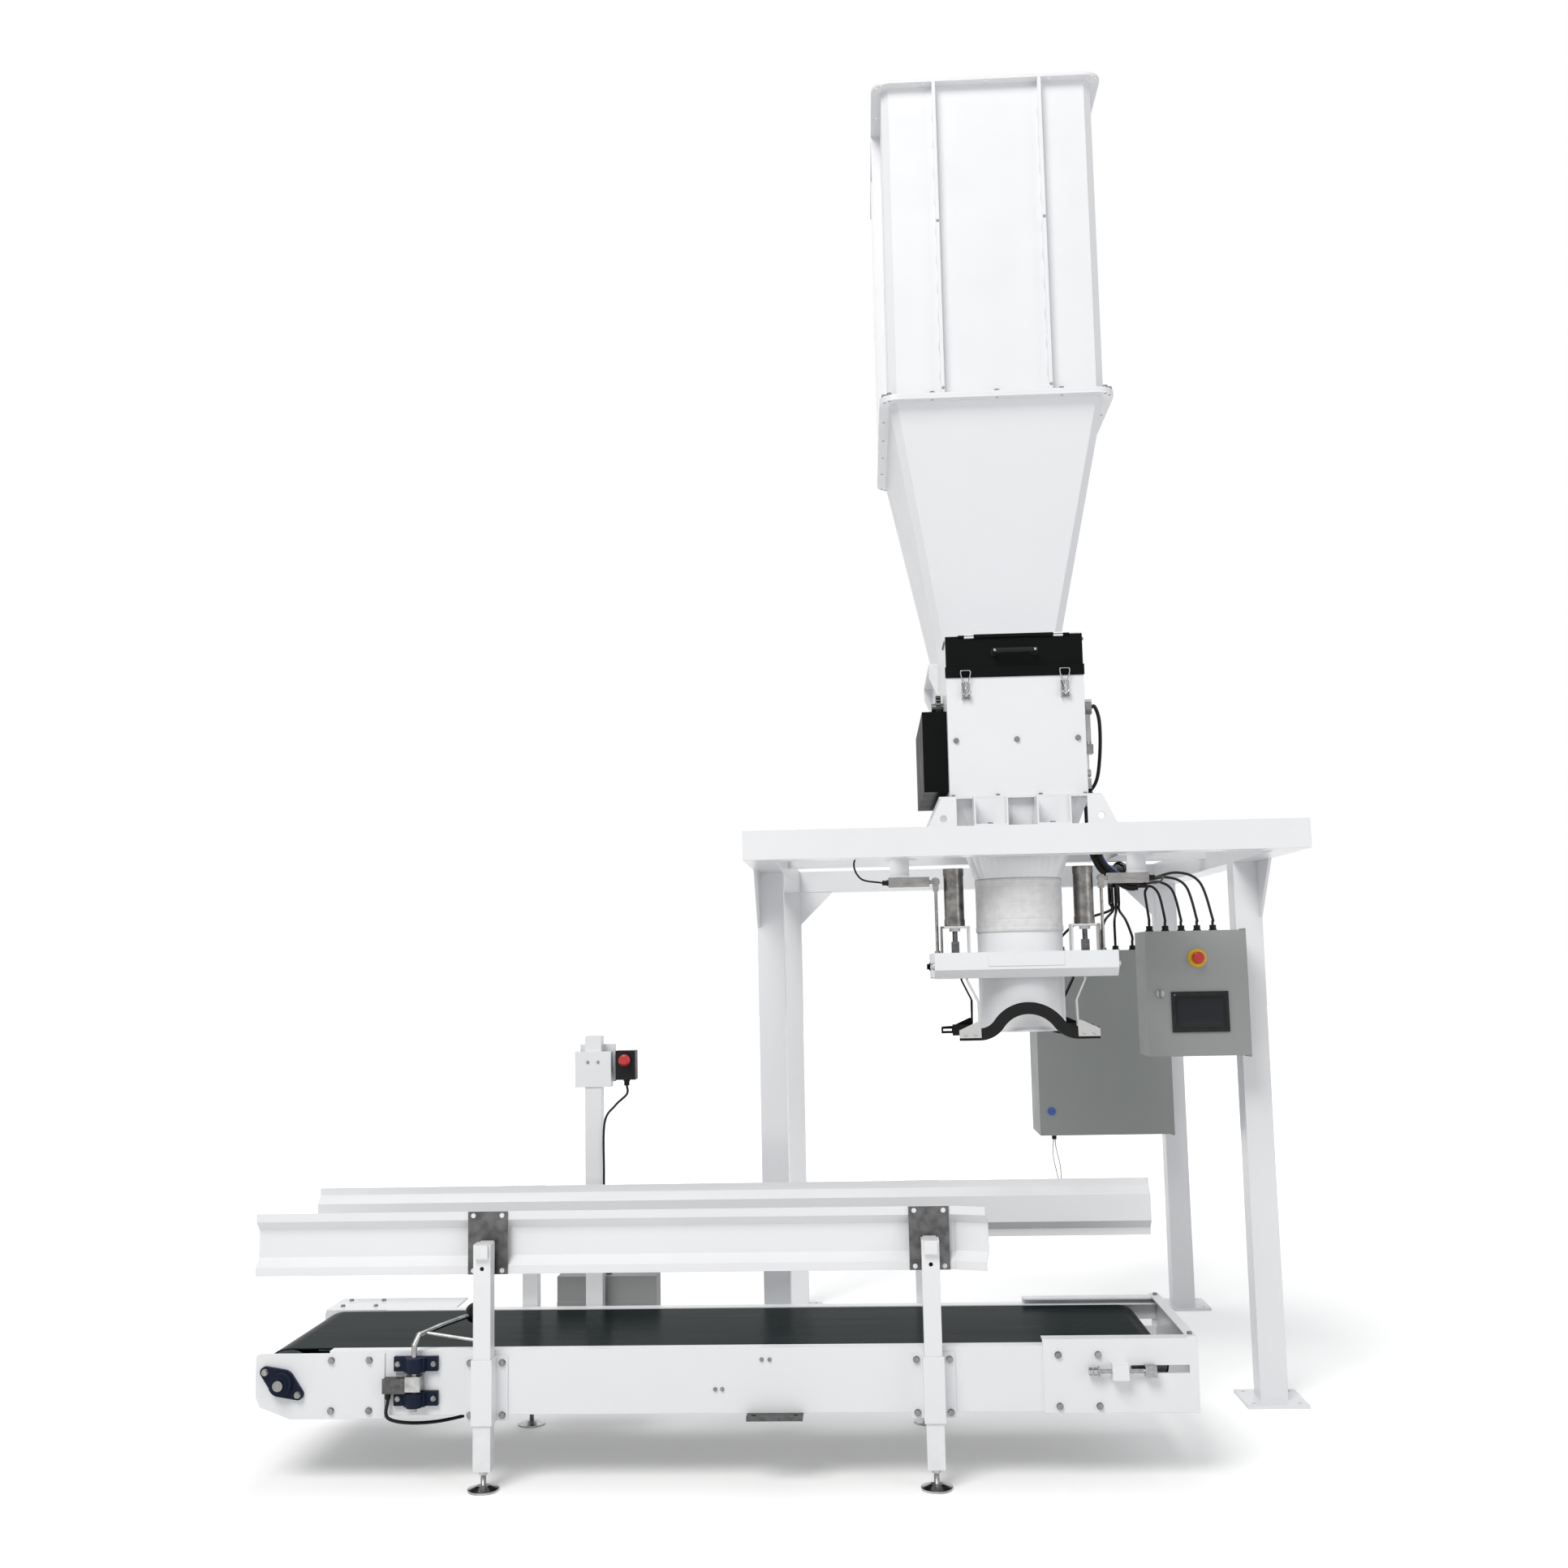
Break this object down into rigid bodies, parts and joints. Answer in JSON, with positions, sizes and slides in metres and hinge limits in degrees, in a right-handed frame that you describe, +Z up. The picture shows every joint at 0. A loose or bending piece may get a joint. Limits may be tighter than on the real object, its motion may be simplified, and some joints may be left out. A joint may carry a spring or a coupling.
{
  "type": "weighing packing machine",
  "caption": "Open-mouth bag filler: hopper and feeder on a platform, weighed spout with a jaw bag clamp, and a belt conveyor with guide rails beneath.",
  "frame": {"origin": "on the floor under the middle of the machine's bounding box", "axes": "+X along the belt to the viewer's right, +Y away from the viewer of the picture, +Z up"},
  "size_m": [3.215, 2.5085, 4.5],
  "materials": {
    "white_paint": "smooth gloss paint",
    "grey_paint": "fine textured powder coat",
    "black_paint": "semi-gloss paint",
    "motor_paint": "semi-gloss paint",
    "blue_casting": "painted casting",
    "zinc_steel": "zinc plated",
    "dark_steel": "machined",
    "stainless": "drawn stainless",
    "galvanised": "galvanised sheet",
    "chrome": "polished plate",
    "black_plastic": "moulded",
    "red_plastic": "moulded",
    "blue_plastic": "moulded",
    "white_fabric": "coated sleeve cloth",
    "black_rubber": "smooth rubber",
    "dark_belt": "smooth belt cover"
  },
  "bodies": {
    "machine": {"platform_frame": "white_paint", "feeder_subframe": "white_paint", "hopper_box": "white_paint", "hopper_ribs": "white_paint", "hopper_cone": "white_paint", "hex_bolts": "zinc_steel", "feeder_housing": "white_paint", "front_panel": "white_paint", "latch_bases": "chrome", "drive_guard": "black_paint", "air_cylinders": "stainless", "support_brackets": "white_paint", "transition_cone": "white_paint", "flexible_sleeve": "white_fabric", "weigh_spout": "white_paint", "clamp_covers": "white_paint", "load_cells": "stainless", "control_box": "grey_paint", "power_cabinet": "grey_paint", "cable_glands": "black_plastic", "cable_harness": "black_rubber", "conveyor_sides": "white_paint", "end_plates": "white_paint", "tensioners": "chrome", "belt_bed": "galvanised", "conveyor_belt": "dark_belt", "bearing_units": "blue_casting", "leg_sleeves": "white_paint", "levelling_legs": "zinc_steel", "guide_posts": "white_paint", "lever_switch": "galvanised", "drive_gearmotor": "motor_paint", "stop_post": "white_paint", "stop_station": "black_plastic", "junction_box": "grey_paint"},
    "lid": {"inspection_lid": "black_paint", "lid_handle": "black_plastic"},
    "latches": {"latch_levers": "chrome"},
    "drum": {"metering_drum": "dark_steel"},
    "gate_rod": {"gate_rod": "chrome"},
    "gate_flap": {"gate_flap": "stainless"},
    "clamp_rods": {"clamp_rods": "chrome"},
    "front_jaw": {"front_jaw": "zinc_steel", "front_strap": "black_rubber"},
    "rear_jaw": {"rear_jaw": "black_paint", "rear_strap": "black_rubber"},
    "box_door": {"control_box_door": "grey_paint", "door_fittings": "black_plastic"},
    "box_stop": {"box_stop_button": "red_plastic"},
    "box_lock": {"box_lock": "chrome"},
    "cabinet_door": {"cabinet_door": "grey_paint"},
    "cabinet_lock": {"cabinet_lock": "blue_plastic"},
    "drive_roller": {"drive_roller": "zinc_steel"},
    "tail_roller": {"tail_roller": "zinc_steel"},
    "near_guide": {"near_guide": "white_paint", "near_mounts": "galvanised"},
    "far_guide": {"far_guide": "white_paint", "far_mounts": "galvanised"},
    "bag_lever": {"bag_lever": "zinc_steel"},
    "post_stop": {"post_stop_button": "red_plastic"}
  },
  "joints": [
    {"name": "lid_hinge", "type": "hinge", "parent": "machine", "child": "lid", "pos_m": [0.6925, -0.9073, 2.484], "axis": [-1, 0, 0], "range_deg": [0, 100]},
    {"name": "latch_pivots", "type": "hinge", "parent": "machine", "child": "latches", "pos_m": [0.6925, -0.9133, 2.291], "axis": [1, 0, 0], "range_deg": [0, 100]},
    {"name": "drum_shaft", "type": "hinge", "parent": "machine", "child": "drum", "pos_m": [0.6925, -0.6653, 2.297], "axis": [1, 0, 0], "continuous": true},
    {"name": "gate_shaft", "type": "hinge", "parent": "machine", "child": "gate_flap", "pos_m": [0.6925, -0.7353, 2.06], "axis": [1, 0, 0], "range_deg": [0, 60]},
    {"name": "gate_cylinder_rod", "type": "slide", "parent": "machine", "child": "gate_rod", "axis": [0, 0, 1], "range_m": [0, 0.0695]},
    {"name": "front_jaw_shaft", "type": "hinge", "parent": "machine", "child": "front_jaw", "pos_m": [0.6925, -0.9053, 1.45], "axis": [1, 0, 0], "range_deg": [0, 12]},
    {"name": "rear_jaw_shaft", "type": "hinge", "parent": "machine", "child": "rear_jaw", "pos_m": [0.6925, -0.6253, 1.45], "axis": [-1, 0, 0], "range_deg": [0, 12.1]},
    {"name": "clamp_cylinder_rods", "type": "slide", "parent": "machine", "child": "clamp_rods", "axis": [0, 0, 1], "range_m": [0, 0.01692]},
    {"name": "control_box_hinge", "type": "hinge", "parent": "machine", "child": "box_door", "pos_m": [1.453, -0.5212, 1.347], "axis": [0, 0, 1], "range_deg": [0, 110]},
    {"name": "control_box_stop_press", "type": "slide", "parent": "box_door", "child": "box_stop", "axis": [0, 1, 0], "range_m": [0, 0.005], "stiffness_N_per_m": 900},
    {"name": "control_box_lock_turn", "type": "hinge", "parent": "box_door", "child": "box_lock", "pos_m": [1.1685, -0.5257, 1.347], "axis": [0, 1, 0], "range_deg": [0, 90]},
    {"name": "power_cabinet_hinge", "type": "hinge", "parent": "machine", "child": "cabinet_door", "pos_m": [1.453, 0.8788, 1.125], "axis": [0, 0, 1], "range_deg": [0, 110]},
    {"name": "power_cabinet_lock_turn", "type": "hinge", "parent": "cabinet_door", "child": "cabinet_lock", "pos_m": [0.9565, 0.8743, 0.846], "axis": [0, 1, 0], "range_deg": [0, 90]},
    {"name": "drive_roller_shaft", "type": "hinge", "parent": "machine", "child": "drive_roller", "pos_m": [-1.5125, -0.8803, 0.292], "axis": [0, 1, 0], "continuous": true},
    {"name": "tail_roller_shaft", "type": "hinge", "parent": "machine", "child": "tail_roller", "pos_m": [0.9705, -0.8803, 0.312], "axis": [0, 1, 0], "continuous": true},
    {"name": "near_guide_width", "type": "slide", "parent": "machine", "child": "near_guide", "axis": [0, 1, 0], "range_m": [-0.015, 0.045]},
    {"name": "far_guide_width", "type": "slide", "parent": "machine", "child": "far_guide", "axis": [0, -1, 0], "range_m": [-0.015, 0.045]},
    {"name": "bag_lever_pivot", "type": "hinge", "parent": "machine", "child": "bag_lever", "pos_m": [-1.1215, -1.2023, 0.3], "axis": [0, 0, 1], "range_deg": [0, 20], "stiffness_Nm_per_rad": 1.5},
    {"name": "post_stop_press", "type": "slide", "parent": "machine", "child": "post_stop", "axis": [0, 1, 0], "range_m": [0, 0.005], "stiffness_N_per_m": 900}
  ],
  "couplings": [
    {"joint": "gate_cylinder_rod", "follows": "gate_shaft", "m_per_rad": 0.066159},
    {"joint": "rear_jaw_shaft", "follows": "front_jaw_shaft", "ratio": 1},
    {"joint": "clamp_cylinder_rods", "follows": "front_jaw_shaft", "m_per_rad": 0.080294},
    {"joint": "tail_roller_shaft", "follows": "drive_roller_shaft", "ratio": 1.3333}
  ]
}
